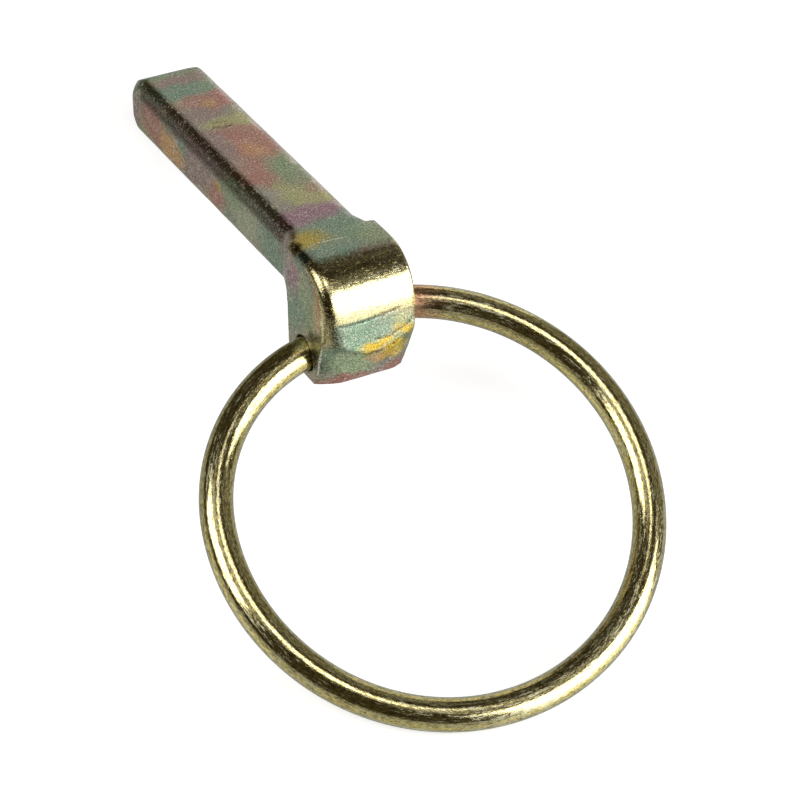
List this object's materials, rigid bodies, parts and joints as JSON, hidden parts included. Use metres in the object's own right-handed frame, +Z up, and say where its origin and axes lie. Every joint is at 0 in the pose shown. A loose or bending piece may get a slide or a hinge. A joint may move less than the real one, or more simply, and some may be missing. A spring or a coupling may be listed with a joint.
{
  "type": "lynch pin",
  "caption": "Lynch pin with a forged L-shaped head and a sprung wire ring hinged in its leg, lying on its tip and ring, in yellow-passivated steel.",
  "frame": {"origin": "middle of the shank's section in the plane of the shoulder, the back face of the leg", "axes": "+Z up from the table that the pin lies on, +Y along the table from the ring towards the shank's tip, +X across the head to the right of a viewer who faces the head's front"},
  "size_m": [0.055, 0.1006, 0.0257],
  "materials": {
    "pin_steel": "forged, zinc plated with a yellow iridescent passivation",
    "ring_wire": "drawn spring wire, zinc plated with a glossy yellow passivation"
  },
  "bodies": {
    "pin": {"pin": "pin_steel"},
    "ring": {"ring": "ring_wire"}
  },
  "joints": [
    {"name": "ring_swing", "type": "hinge", "parent": "pin", "child": "ring", "pos_m": [-0.00032, -0.00629, -0.00603], "axis": [0.9848, 0.1559, 0.0764], "range_deg": [-197, 146]}
  ]
}
